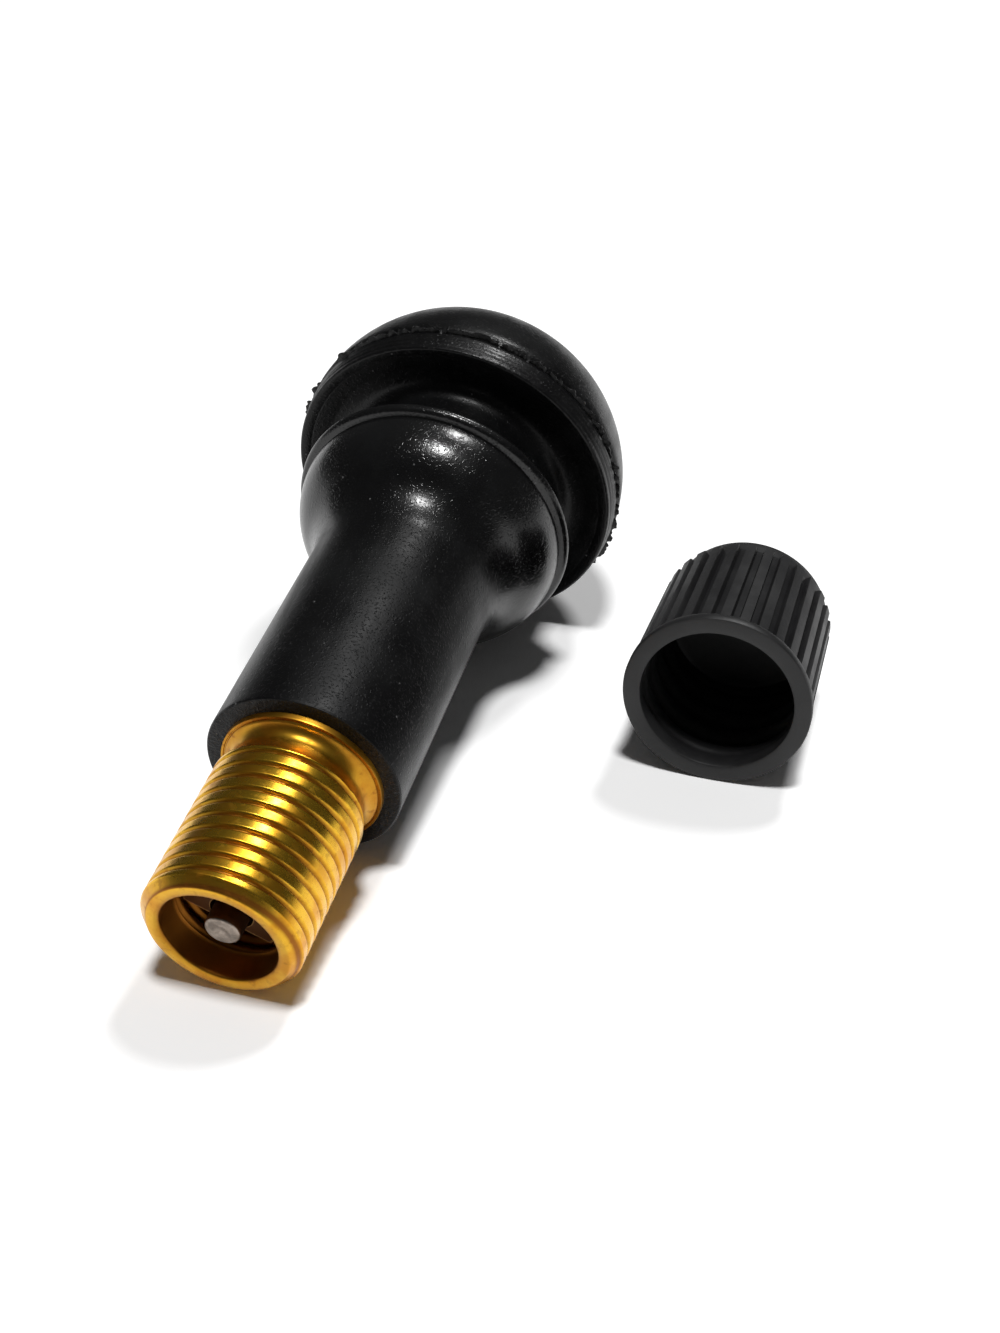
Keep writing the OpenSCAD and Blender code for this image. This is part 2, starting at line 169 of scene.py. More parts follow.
def even(count):
    return np.arange(count) * 2 * math.pi / count


def new_object(name, data):
    obj = bpy.data.objects.new(name, data)
    bpy.context.scene.collection.objects.link(obj)
    return obj


def new_piece(name, points, faces, masks):
    mesh = bpy.data.meshes.new(name)
    mesh.from_pydata([(x * MM, y * MM, z * MM) for x, y, z in points], [], faces)
    for mask, values in masks.items():
        mesh.attributes.new(mask, "FLOAT", "POINT").data.foreach_set("value", values)
    return new_object(name, mesh)


def lathe(name, section, angles, masks, closed=True):
    points, rings, faces = [], [], []
    round_way = [(math.cos(a), math.sin(a)) for a in angles]
    for r, z in section:
        spots = round_way if r else round_way[:1]
        rings.append([len(points) + i % len(spots) for i in range(len(angles) + 1)])
        points += [(r * c, r * s, z) for c, s in spots]
    for low, high in zip(rings, rings[1:] + rings[:1] if closed else rings[1:]):
        for i in range(len(angles)):
            corners = list(dict.fromkeys((low[i], low[i + 1], high[i + 1], high[i])))
            if len(corners) > 2:
                faces.append(corners)
    counts = [len(angles) if r else 1 for r, z in section]
    return new_piece(name, points, faces, {mask: np.repeat(row, counts) for mask, row in masks.items()})


# %% [markdown]
# Three rules shape the turned pieces: a screw thread winds round a wall, ribs repeat round the cap, and
# the flash is a torn fin whose height wanders round the head. Cutters and booleans could do it, but
# their meshes come out ragged. Here nodes move the points of the lathe in and out. Each rule is a
# Geometry Nodes tree with its sizes as named inputs, so one thread tree cuts the stem, its bore, the
# plug and the cap.

# %% Trees: start, end and use
def new_tree(name, inputs):
    tree = bpy.data.node_groups.new(name, "GeometryNodeTree")
    tree.is_modifier = True
    for label, kind in {"Geometry": "Geometry", **inputs, "Material": "Material"}.items():
        tree.interface.new_socket(label, in_out="INPUT", socket_type="NodeSocket" + kind)
    tree.interface.new_socket("Geometry", in_out="OUTPUT", socket_type="NodeSocketGeometry")
    entry = tree.nodes.new("NodeGroupInput")
    return tree, Socket(tree), {s.name: Socket(tree, s) for s in entry.outputs if s.name}


def end_tree(shape, material):
    whole = shape.add("GeometryNodeRealizeInstances", {0: shape})
    whole.add("GeometryNodeSetMaterial", {"Geometry": whole, "Material": material}).close("NodeGroupOutput")
    print(shape.tree.name, len(shape.tree.nodes), "nodes")


def run(obj, tree, **values):
    modifier = obj.modifiers.new(tree.name, "NODES")
    modifier.node_group = tree
    inputs = [s for s in tree.interface.items_tree if s.in_out == "INPUT"]
    names = {s.name.replace(" ", "_"): s.identifier for s in inputs}
    for key, value in values.items():
        modifier[names[key]] = value


def settle(obj, lay, body, slot, *replaced, crease=40):
    view = bpy.context.evaluated_depsgraph_get()
    mesh = bpy.data.meshes.new_from_object(obj.evaluated_get(view))
    obj.modifiers.clear()
    obj.data = mesh
    mesh.transform(lay)
    mesh.shade_smooth()
    mesh.set_sharp_from_angle(angle=math.radians(crease))
    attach(obj, body)
    if replaced:
        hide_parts(*replaced)
    print(obj.name, len(mesh.polygons), "faces")


# %% Trees: reading and moving the points of a wall
def attribute(pen, name):
    return pen.add("GeometryNodeInputNamedAttribute", {"Name": name}, data_type="FLOAT")


def keep(given, name, value):
    sockets = {"Geometry": given["Geometry"], "Name": name, "Value": value}
    given["Geometry"] = value.add("GeometryNodeStoreNamedAttribute", sockets, data_type="FLOAT")


def place_and_reach(pen):
    x, y, z = pen.add("GeometryNodeInputPosition").xyz()
    return x, y, z, (x * x + y * y) ** 0.5


def share_of_turn(x, y):
    return y.math("ARCTAN2", x) / (2 * math.pi)


def from_middle(phase):
    return (phase.math("FRACT") - 0.5).math("ABSOLUTE") * 2


def move(given, x, y, z):
    place = x.add("ShaderNodeCombineXYZ", {0: x, 1: y, 2: z})
    moved = x.add("GeometryNodeSetPosition", {"Geometry": given["Geometry"], "Position": place})
    end_tree(moved, given["Material"])


# %% Tree: screw thread
# Side is 1 for a thread on the outside of a wall and -1 for one inside a bore. Root and Land are the
# parts of half a pitch at which the flank leaves the bottom of the groove and reaches the crest. The shade
# input is how much painted shade browns the bottom of the groove, kept in the attribute that the metal
# paint reads.
thread_tree, pen, given = new_tree("Screw thread", {
    "Mask": "String", "Pitch": "Float", "Crest": "Float", "Depth": "Float",
    "Start": "Float", "Root": "Float", "Land": "Float", "Side": "Float", "Tarnish": "Float"})
x, y, z, reach = place_and_reach(pen)
mask, painted_shade = attribute(pen, given["Mask"]), attribute(pen, "painted_shade")
phase = z / given["Pitch"] - share_of_turn(x, y) + given["Start"]
groove = 1 - from_middle(phase).step(given["Root"], given["Land"])
wall = given["Crest"] - given["Side"] * given["Depth"] * groove
cut = (given["Side"] * reach).math("MINIMUM", given["Side"] * wall) * given["Side"]
gain = 1 + mask * (cut / reach - 1)
# The bottom of the groove gets painted shade.
keep(given, "painted_shade", painted_shade + mask * groove * given["Tarnish"])
move(given, x * gain, y * gain, z)

# %% Tree: ribs
# Width is the part of each repeat that a rib takes up, and Edge is how far its flank slopes. The valleys
# are kept in an attribute, which the paint darkens as painted shade.
rib_tree, pen, given = new_tree("Ribs", {
    "Count": "Float", "Width": "Float", "Edge": "Float", "Depth": "Float"})
x, y, z, reach = place_and_reach(pen)
mask = attribute(pen, "ribbed")
phase = share_of_turn(x, y) * given["Count"]
valley = from_middle(phase).step(given["Width"], given["Width"] + given["Edge"])
gain = 1 - mask * valley * given["Depth"] / reach
keep(given, "hollow", mask * valley)
move(given, x * gain, y * gain, z)


# %% Tree: torn flash
def noise(place, scale, detail=2.0, rough=0.5, distortion=0.0):
    return place.add("ShaderNodeTexNoise", {
        "Vector": place, "Scale": scale, "Detail": detail, "Roughness": rough, "Distortion": distortion})


# The fin stands up to Rise above the head, torn lower where the noise is low. Limit keeps it inside the
# square that the solid fills, so that it never dips under the floor. Seed picks one place in the noise.
RAGGED = 0.7
flash_tree, pen, given = new_tree("Torn flash", {
    "Rise": "Float", "Limit": "Float", "Sway": "Float", "Seed": "Float"})
x, y, z, reach = place_and_reach(pen)
fin, sway = attribute(pen, "fin"), attribute(pen, "sway")
round_x, round_y = x / reach, y / reach
edge = pen.add("ShaderNodeCombineXYZ", {0: round_x, 1: round_y, 2: given["Seed"]})
left_standing = noise(edge, 7.0, 2.0, RAGGED).step(0.34, 0.54)
frayed = noise(edge, 16.0, 1.0, RAGGED).step(0.36, 0.6)
torn = left_standing * (0.45 + 0.55 * frayed)
widest = given["Limit"] / round_x.math("ABSOLUTE").math("MAXIMUM", round_y.math("ABSOLUTE"))
tip = (reach + fin * given["Rise"] * torn).math("MINIMUM", widest)
gain = tip / reach
shift = sway * given["Sway"] * (noise(edge, 11.0, 5.0, RAGGED) - 0.5)
move(given, x * gain, y * gain, z + shift)


# %% [markdown]
# Materials come next. The rubber is black: dull on the head and along the sleeve, and shiny on the flare
# as it came from the mould, where small flecks break up the highlights. Its sleeve has faint streaks
# along it, and there are pale specks of dust. One skin of varying roughness could do, but a mix of two
# skins also lets the strength of the shine differ. The brass is golden, with brown tarnish spots, and
# painted shade browns its grooves, its bore and the neck by its collar. The cap is a matt plastic, with
# painted shade in the valleys between its ribs.

# %% Paint box
def new_paint(name):
    paint = bpy.data.materials.new(name)
    paint.use_nodes = True
    paint.node_tree.nodes.clear()
    pen = Socket(paint.node_tree)
    return paint, pen, pen.add("ShaderNodeTexCoord", out="Object")


def skin(pen, **sockets):
    labels = {key.replace("_", " "): value for key, value in sockets.items()}
    return pen.add("ShaderNodeBsdfPrincipled", labels)


def painted_mask(pen, name):
    return pen.add("ShaderNodeAttribute", out="Fac", attribute_name=name)


def blend(factor, a, b):
    a, b = (colour if isinstance(colour, Socket) else (*colour, 1) for colour in (a, b))
    return factor.add("ShaderNodeMix", {0: factor, 6: a, 7: b}, out=2, data_type="RGBA")


def bump(height, distance, strength):
    return height.add("ShaderNodeBump", {"Height": height, "Distance": distance, "Strength": strength})


# %% Rubber: its patterns
rubber, pen, place = new_paint("rubber")
peel = noise(place, 6500, 2, 0.5, 0.6)
fleck = noise(place, 7500, 1, 0.5, 0.5).step(0.55, 0.75)
crumb = noise(place, 3000, 4, 0.7)
cloud = noise(place, 260, 4, 0.6).step(0.42, 0.68)
along_sleeve = pen.add("ShaderNodeMapping", {"Vector": place, "Scale": (1, 0.08, 1)})
streak = noise(along_sleeve, 900, 2, 0.5).step(0.4, 0.65)
speck = pen.add("ShaderNodeTexVoronoi", {"Vector": place, "Scale": 3000.0})
few = speck.at("Color").xyz()[0].step(0.975, 0.985)
dust = (1 - speck.step(0.10, 0.22)) * few
print("patterns on the rubber:", len(rubber.node_tree.nodes), "nodes")

# %% Rubber: its two skins
BLACK, SOFT_BLACK, DUST_GREY = (0.0028, 0.0028, 0.003), (0.0048, 0.005, 0.0052), (0.12, 0.12, 0.12)
PEEL_DEPTH = 0.04 * MM
colour = blend(dust, blend(cloud, BLACK, SOFT_BLACK), DUST_GREY)
dull, crumbly = painted_mask(pen, "dull"), painted_mask(pen, "crumbly")
shiny = skin(
    pen,
    Base_Color=colour,
    Roughness=0.20 + 0.05 * cloud + 0.2 * dust,
    Specular_IOR_Level=0.5,
    Normal=bump(0.5 * peel + 0.5 * fleck, PEEL_DEPTH, 0.35))
matt = skin(
    pen,
    Base_Color=colour,
    Roughness=0.34 + 0.08 * cloud + 0.2 * dust + 0.08 * streak,
    Specular_IOR_Level=0.17,
    Normal=bump(0.6 * peel + fleck + 5 * crumbly * crumb, PEEL_DEPTH, 0.4))
pen.add("ShaderNodeMixShader", {0: dull, 1: shiny, 2: matt}).close("ShaderNodeOutputMaterial")
print(rubber.name, len(rubber.node_tree.nodes), "nodes")


# %% Metals
# Each has a light and a dark tone in clouds, and a brown tone for its small tarnish spots and for the
# painted shade that its shade mask marks, such as grooves and bores. Then come its roughness and the scale
# of the clouds.
METALS = {
    "brass": ((0.82, 0.48, 0.04), (0.66, 0.30, 0.02), (0.30, 0.11, 0.015), 0.21, 700),
    # The core's brass is written darker than the stem's: painted shade for the bore that it sits in.
    "core_brass": ((0.40, 0.23, 0.085), (0.22, 0.115, 0.04), (0.07, 0.028, 0.01), 0.30, 700),
    "pin_metal": ((0.34, 0.285, 0.24), (0.17, 0.14, 0.115), (0.10, 0.06, 0.035), 0.30, 1500),
    "spring_steel": ((0.60, 0.61, 0.63), (0.45, 0.46, 0.48), (0.30, 0.30, 0.30), 0.25, 900),
}


def metal_paint(name, light, dark, tarnish_and_shade, roughness, scale):
    paint, pen, place = new_paint(name)
    painted_shade = painted_mask(pen, "painted_shade")
    stain = noise(place, scale, 4, 0.6).step(0.35, 0.7)
    spot = noise(place, 3 * scale, 3, 0.6).step(0.54, 0.72)
    grain = noise(place, 9000, 3, 0.6)
    surface = skin(
        pen,
        # The brown tone is painted shade where the shade mask is set, and real tarnish in the small spots.
        Base_Color=blend(painted_shade + 0.3 * spot, blend(stain, light, dark), tarnish_and_shade),
        Metallic=1.0,
        Roughness=roughness + 0.08 * stain + 0.06 * grain + 0.1 * spot + 0.15 * painted_shade,
        Normal=bump(grain, 0.006 * MM, 0.3))
    surface.close("ShaderNodeOutputMaterial")
    return paint


brass, core_brass, pin_metal, spring_steel = (metal_paint(name, *row) for name, row in METALS.items())
print("metals:", [p.name for p in (brass, core_brass, pin_metal, spring_steel)])


# %% Seals
def seal_paint(name, light, dark, scale, roughness):
    paint, pen, place = new_paint(name)
    cloud = noise(place, scale, 4, 0.6).step(0.35, 0.68)
    grain = noise(place, scale * 12, 2, 0.5)
    surface = skin(
        pen,
        Base_Color=blend(cloud, light, dark),
        Roughness=roughness + 0.1 * cloud,
        Normal=bump(grain, 0.01 * MM, 0.4))
    surface.close("ShaderNodeOutputMaterial")
    return paint


red_seal = seal_paint("red_seal", (0.50, 0.045, 0.035), (0.38, 0.03, 0.025), 800, 0.42)
black_seal = seal_paint("black_seal", (0.02, 0.02, 0.02), (0.03, 0.03, 0.03), 900, 0.55)
print("seals:", [p.name for p in (red_seal, black_seal)])

# %% The plastic of the cap
# The third tone is painted shade for the valleys between the ribs.
PLASTIC, WORN_PLASTIC, VALLEY_SHADE = (0.0105, 0.0105, 0.011), (0.0155, 0.0155, 0.016), (0.0085, 0.0085, 0.009)
cap_plastic, pen, place = new_paint("cap_plastic")
hollow = painted_mask(pen, "hollow")
cloud = noise(place, 420, 4, 0.6).step(0.35, 0.68)
grain = noise(place, 5000, 2, 0.5)
surface = skin(
    pen,
    Base_Color=blend(hollow, blend(cloud, PLASTIC, WORN_PLASTIC), VALLEY_SHADE),
    Roughness=0.44 + 0.12 * cloud - 0.12 * hollow,
    Specular_IOR_Level=0.42,
    Normal=bump(grain, 0.02 * MM, 0.4))
surface.close("ShaderNodeOutputMaterial")
print(cap_plastic.name, len(cap_plastic.node_tree.nodes), "nodes")

# %% [markdown]
# Inside the rubber, the brass stem has a wide foot, a shank with keying grooves and a collar, all bonded
# in. The hollow of the rubber and the outside of the stem are one wall, seen from its two sides, so it
# is written once: the stem walks it upwards, and the rubber downwards.

# %% The wall that brass and rubber share
FOOT_R, FOOT_H, FOOT_T, PASSAGE_R = 4.6, 3.0, 1.4, 1.9
SHANK_R, COLLAR_R, COLLAR_FOOT = 3.3, 4.1, 31.35
KEYS, KEY_R, KEY_STEP, KEY_HALF, KEY_FLOOR_HALF = 4, 3.0, 3, 0.6, 0.3
shank_foot = FOOT_H + FOOT_T + FOOT_R - SHANK_R
bonded = [(PASSAGE_R, FOOT_H), (FOOT_R, FOOT_H), (FOOT_R, FOOT_H + FOOT_T), (SHANK_R, shank_foot)]
for i in range(KEYS):
    mid = shank_foot + KEY_STEP * (i + 0.5)
    bonded += [(SHANK_R, mid - KEY_HALF), (KEY_R, mid - KEY_FLOOR_HALF)]
    bonded += [(KEY_R, mid + KEY_FLOOR_HALF), (SHANK_R, mid + KEY_HALF)]
bonded += [(SHANK_R, COLLAR_FOOT), (COLLAR_R, COLLAR_FOOT)]
print("shared wall:", len(bonded), "points")

# %% [markdown]
# The rubber body is one moulding: a domed head, the torn flash at the parting line, a flat band, the
# sealing lip, the groove that seats in the rim, the retaining ring, and a flare that runs into the
# sleeve. It could be sculpted, but the mould was turned, so it is turned here too, in one closed section
# that also lines the hollow where the brass is bonded in.

# %% Section of the rubber
SLEEVE_TOP, SLEEVE_R, SLEEVE_EDGE = 32.25, 4.95, 0.12
SHOULDER_R, SHOULDER_H, FLARE_H = 7.4, 13.0, 5.5
GROOVE_FOOT, GROOVE_R, GROOVE_ROUND, INLET_BEVEL = 8.5, 6.15, 0.9, 0.7
flare_turn = 2 * math.degrees(math.atan((SHOULDER_R - SLEEVE_R) / FLARE_H))
flare_round = FLARE_H / (2 * math.sin(math.radians(flare_turn)))
dome_foot = -math.degrees(math.asin(PARTING / HEAD_ROUND))

dome = arc((HEAD_R - HEAD_ROUND, PARTING), HEAD_ROUND - SKIN, dome_foot, -2.6, 18)
fin = [(9.33, 7.22), (9.23, 7.33), (9.22, 7.42), (9.22, 7.47), (9.22, 7.53), (9.22, 7.59), (9.31, 7.72)]
band = [(9.33, 7.95), (9.31, 8.00), (9.31, 8.05), (9.29, 8.32), (9.27, 8.36), (9.27, 8.40)]
band += [(9.24, 8.62), (9.21, 8.66), (9.21, 8.72)]
lip = arc((9.05, 8.85), 0.15, 0, 90, 6)
seal = [(8.62, 8.85), (8.58, 8.82), (8.54, 8.82), (8.50, 8.81), (7.75, 8.55), (7.60, GROOVE_FOOT)]
groove = arc((GROOVE_R + GROOVE_ROUND, GROOVE_FOOT + GROOVE_ROUND), GROOVE_ROUND, 270, 180, 10)
groove += [(GROOVE_R, 10.2), (GROOVE_R, 10.9)]
ring = arc((7.45, 12.4), 0.35, -45, 75, 10) + [(7.36, 12.79), (7.32, 12.82), (7.36, 12.86)]
flare = arc((SHOULDER_R - flare_round, SHOULDER_H), flare_round, 0, flare_turn, 13)
flare += arc((SLEEVE_R + flare_round, SHOULDER_H + FLARE_H), flare_round, 180 + flare_turn, 180, 13)[1:]
sleeve = line((SLEEVE_R, 18.7), (SLEEVE_R, 31.9), 6)
sleeve += arc((SLEEVE_R - SLEEVE_EDGE, SLEEVE_TOP - SLEEVE_EDGE), SLEEVE_EDGE, 0, 90, 5)
lining = [(COLLAR_R, SLEEVE_TOP)] + bonded[::-1]
lining += [(PASSAGE_R, INLET_BEVEL), (PASSAGE_R + INLET_BEVEL, 0.0)]
section = dome + fin + band + lip + seal + groove + ring + flare + sleeve + lining
print("rubber section:", len(section), "points")
print("flare:", round(flare_turn, 1), "degrees, round", round(flare_round, 2))

# %% Turn the rubber and tear its flash
# Dull is 1 for the matt skin and 0 for the shiny one. Crumbly marks the rough end of the sleeve.
fin_mask, sway_mask, dull, crumbly = np.zeros((4, len(section)))
fin_at, groove_at = len(dome), len(dome + fin + band + lip + seal)
ring_at, lining_at = groove_at + len(groove), len(section) - len(lining)
sleeve_at = lining_at - len(sleeve)
fin_mask[fin_at:fin_at + len(fin)] = (0, 0, 0.3, 1, 1, 0.2, 0)
sway_mask[fin_at - 1:fin_at + len(fin)] = (0.2, 0.6, 0.9, 1, 1, 1, 0.8, 0.4)
dull[:groove_at] = 0.8
dull[groove_at:ring_at] = 0.85
dull[ring_at:ring_at + len(ring)] = np.linspace(0.4, 0, len(ring))
dull[sleeve_at - 10:sleeve_at] = np.linspace(0, 1, 10)
dull[sleeve_at:] = 1
crumbly[lining_at - 3:lining_at + 1] = 1
masks = {"fin": fin_mask, "sway": sway_mask, "dull": dull, "crumbly": crumbly}
rubber_piece = lathe("rubber_moulding", section, even(640), masks)
run(rubber_piece, flash_tree, Rise=0.42 * MM, Limit=(FLASH_R - 0.04) * MM, Sway=0.30 * MM, Seed=4.0,
    Material=rubber)
settle(rubber_piece, LAY_VALVE, "valve", "rubber", "rubber_body", crease=45)

# %% [markdown]
# The stem is turned from brass bar. Its outer thread is the standard one for valve caps, and its bore has
# a finer thread that the core screws into. Rings could stand for the thread, as in the solid, but a true
# helix shows at the mouth. The thread tree only takes metal away, so the crests keep the solid's size,
# and the chamfers at both ends let the thread run out by themselves.

# %% Section of the stem
STEM_PITCH, CORE_PITCH = 0.794, 0.7056
NECK_R, NECK_ROUND, COLLAR_TOP, THREAD_FOOT, RUN_OUT = 3.4, 0.7, 32.55, LENGTH - 8.75, 0.45
MOUTH_BORE_R, BORE_R = 2.79, 2.65


def below(*points):
    return [(r, LENGTH - depth) for r, depth in points]


lip_edge = [(COLLAR_R, COLLAR_TOP - 0.07), (COLLAR_R - 0.03, COLLAR_TOP), (COLLAR_R - 0.13, COLLAR_TOP)]
lip_edge += [(COLLAR_R - 0.16, COLLAR_TOP - 0.05), (COLLAR_R - 0.20, COLLAR_TOP - 0.05)]
neck = arc((NECK_R + NECK_ROUND, COLLAR_TOP + NECK_ROUND), NECK_ROUND, 250, 180, 10)
crest_r = THREAD_R - SKIN
screw = line((NECK_R, THREAD_FOOT), (crest_r, THREAD_FOOT + RUN_OUT), 10)
screw += line((crest_r, THREAD_FOOT + RUN_OUT + 0.04), (crest_r, CREST_TOP), 190)
screw += line((crest_r - 0.04, CREST_TOP + 0.04), (MOUTH_R + 0.06, LENGTH - 0.03), 10)
rim = below((MOUTH_R, SKIN), (3.22, SKIN), (3.05, 0.01), (2.90, 0.03), (2.82, 0.08))
mouth = rim + below((MOUTH_BORE_R, 0.16), (MOUTH_BORE_R, 1.36), (BORE_R, 1.5))
bore = line(*below((BORE_R, 1.6), (BORE_R, 9.0)), 120)
seat = below((BORE_R, 9.05), (2.2, 9.5), (PASSAGE_R, 12.0), (PASSAGE_R, 24.0))
section = bonded + lip_edge + neck + screw + mouth + bore + seat
print("stem section:", len(section), "points")

# %% Turn the stem and cut its threads
# Painted shade browns the brass wholly in the bore and more towards the collar; on the rim it is a little
# painted shade with some wear.
screw_at = len(bonded + lip_edge + neck)
mouth_at = screw_at + len(screw)
bore_at = mouth_at + len(mouth)
outer, inner, painted_shade = np.zeros((3, len(section)))
outer[screw_at:mouth_at] = 1
inner[bore_at:bore_at + len(bore)] = 1
painted_shade[mouth_at:] = 1
painted_shade[mouth_at - 10:mouth_at + 3] = 0.25
painted_shade[mouth_at + 3:mouth_at + 5] = (0.45, 0.8)
painted_shade[screw_at - 16:screw_at + 6] = np.clip(np.linspace(0.9, 0, 22), 0, 0.65)
stem_piece = lathe("stem_threaded", section, even(160), {"outer": outer, "inner": inner, "painted_shade": painted_shade})
# Painted shade darkens the bottoms of the outer thread's grooves.
run(stem_piece, thread_tree, Mask="outer", Pitch=STEM_PITCH * MM, Crest=crest_r * MM, Depth=0.18 * MM,
    Start=0.35, Root=0.0, Land=0.46, Side=1.0, Tarnish=0.9, Material=brass)
run(stem_piece, thread_tree, Mask="inner", Pitch=CORE_PITCH * MM, Crest=BORE_R * MM, Depth=0.2 * MM,
    Start=0.1, Root=0.1, Land=0.85, Side=-1.0, Material=brass)
settle(stem_piece, LAY_VALVE, "valve", "brass", "brass_stem", crease=50)

# %% [markdown]
# The plug screws the core into the stem. It is a threaded ring with two ears that a core tool turns, and
# the pin passes between them. The ears are prisms between two arcs, so they are made from an outline,
# in layers. Their sides carry painted shade, and the edge of their top is left bright as a painted
# highlight, so the shade mask is low there.

# %% The plug of the core
PLUG_R, PLUG_BEVEL, PLUG_END, RING_DEPTH = 2.6, 0.2, 8.8, 4.6
SWIVEL_DEPTH, SWIVEL_R, BARREL_HOLE_R = 8.1, 1.95, 1.52
wall = line(*below((PLUG_R, PLUG_END - PLUG_BEVEL), (PLUG_R, RING_DEPTH + PLUG_BEVEL)), 72)
section = below((BARREL_HOLE_R, PLUG_END), (PLUG_R - PLUG_BEVEL, PLUG_END)) + wall
section += below((PLUG_R - PLUG_BEVEL, RING_DEPTH), (SWIVEL_R, RING_DEPTH))
section += below((SWIVEL_R, SWIVEL_DEPTH), (BARREL_HOLE_R, SWIVEL_DEPTH))
outer = np.zeros(len(section))
outer[2:2 + len(wall)] = 1
plug_piece = lathe("plug_threaded", section, even(96), {"outer": outer})
run(plug_piece, thread_tree, Mask="outer", Pitch=CORE_PITCH * MM, Crest=PLUG_R * MM, Depth=0.22 * MM,
    Start=0.1, Root=0.1, Land=0.85, Side=1.0, Material=core_brass)
settle(plug_piece, LAY_VALVE, "plug", "core_brass", "core_plug")

# %% The ears of the plug
EAR_DEPTH, EAR_END, EAR_HALF, EAR_R, GUIDE_R, EAR_TURN = 1.6, 5.6, 0.85, 2.4, 0.995, -26
EAR_BEVEL, HIGHLIGHT_WIDTH = 0.12, 2.2


def ear_outline(turn):
    far, near = (math.degrees(math.asin(EAR_HALF / r)) for r in (EAR_R, GUIDE_R))
    outside = arc((0, 0), EAR_R, turn - far, turn + far, 10)
    return outside + arc((0, 0), GUIDE_R, turn + near, turn - near, 14)


def ear(name, outline, low, high):
    flat = np.array(outline)
    middle, count = flat.mean(axis=0), len(flat)
    bevel = EAR_BEVEL / np.abs(flat - middle).max()
    drawn_in, highlight_in = (middle + (flat - middle) * (1 - part) for part in (bevel, HIGHLIGHT_WIDTH * bevel))
    layers = [(flat, low), (flat, high - EAR_BEVEL), (drawn_in, high), (highlight_in, high)]
    points = [(px, py, height) for layer, height in layers for px, py in layer]
    rows = [range(k * count, (k + 1) * count) for k in range(len(layers))]
    faces = [list(reversed(rows[0])), list(rows[-1])]
    for lower, upper in zip(rows, rows[1:]):
        faces += [(lower[i - 1], lower[i], upper[i], upper[i - 1]) for i in range(count)]
    # Painted shade on the ear's sides, and a painted highlight along the edge of its top.
    return new_piece(name, points, faces, {"painted_shade": np.repeat((1.0, 0.3, 0.0, 1.0), count)})


for label, side in (("a", 0), ("b", 180)):
    ear_piece = ear("plug_ear_" + label, ear_outline(EAR_TURN + side), LENGTH - EAR_END, LENGTH - EAR_DEPTH)
    ear_piece.data.materials.append(core_brass)
    settle(ear_piece, LAY_VALVE, "plug", "core_brass")

# %% [markdown]
# The pin is a turned part as well. Its visible end is slightly domed, with a shallow dimple and the fine
# rings that the turning tool left. A bump could draw those, but the end is seen close up, so they are
# cut into the section.

# %% The pin
PIN_R, PIN_EDGE, PIN_WAIST_R, PIN_FOOT_R = 0.875, 0.2, 0.5, 0.8
PIN_SHOULDER, PIN_FOOT_TOP, PIN_FOOT = 6.4, 17.6, 18.1
end = below((PIN_R - PIN_EDGE, 0.48), (0.60, 0.455), (0.52, 0.47), (0.47, 0.45), (0.36, 0.46))
end += below((0.31, 0.49), (0.24, 0.47), (0.14, 0.53), (0.04, 0.55), (0, 0.55))
section = below((0, PIN_FOOT), (0.72, PIN_FOOT), (PIN_FOOT_R, 18.02), (PIN_FOOT_R, PIN_FOOT_TOP))
section += below((PIN_WAIST_R, PIN_FOOT_TOP), (PIN_WAIST_R, PIN_SHOULDER), (PIN_R, PIN_SHOULDER))
section += line(*below((PIN_R, 6.3), (PIN_R, 0.8)), 6)
section += arc((PIN_R - PIN_EDGE, LENGTH - 0.68), PIN_EDGE, 20, 80, 5) + end
# The pin's side keeps the shade mask, as painted shade down in the bore; its end is left bright.
painted_shade = np.ones(len(section))
painted_shade[-len(end) - 4:] = 0
pin_piece = lathe("pin_turned", section, even(64), {"painted_shade": painted_shade}, closed=False)
pin_piece.data.materials.append(pin_metal)
settle(pin_piece, LAY_VALVE, "pin", "pin_metal", "core_pin", crease=55)

# %% [markdown]
# The spring is wire wound on a helix whose end turns lie close. A curve follows that rule in nodes, and a
# small circle swept along it makes the wire, round where the solid has facets. When the pin is pressed,
# the spring shortens towards the ledge of the barrel that it stands on.

# %% Tree: wound spring
spring_tree, pen, given = new_tree("Wound spring", {
    "Turns": "Float", "Radius": "Float", "Wire": "Float", "Length": "Float", "Steps": "Int"})
path = pen.add("GeometryNodeCurvePrimitiveLine")
path = path.add("GeometryNodeResampleCurve", {"Curve": path, "Count": given["Steps"]})
turn = pen.add("GeometryNodeSplineParameter") * given["Turns"]
free = (turn - 1).math("MAXIMUM", 0).math("MINIMUM", given["Turns"] - 2)
pitch = (given["Length"] - 3 * given["Wire"]) / (given["Turns"] - 2)
height = (turn - free) * given["Wire"] + free * pitch + given["Wire"] / 2
angle = turn * (2 * math.pi)
place = pen.add("ShaderNodeCombineXYZ", {
    0: angle.math("COSINE") * given["Radius"], 1: angle.math("SINE") * given["Radius"], 2: height})
path = path.add("GeometryNodeSetPosition", {"Geometry": path, "Position": place})
wire = pen.add("GeometryNodeCurvePrimitiveCircle", {"Resolution": 10, "Radius": given["Wire"] / 2})
coil = path.add("GeometryNodeCurveToMesh", {"Curve": path, "Profile Curve": wire, "Fill Caps": True})
end_tree(coil, given["Material"])

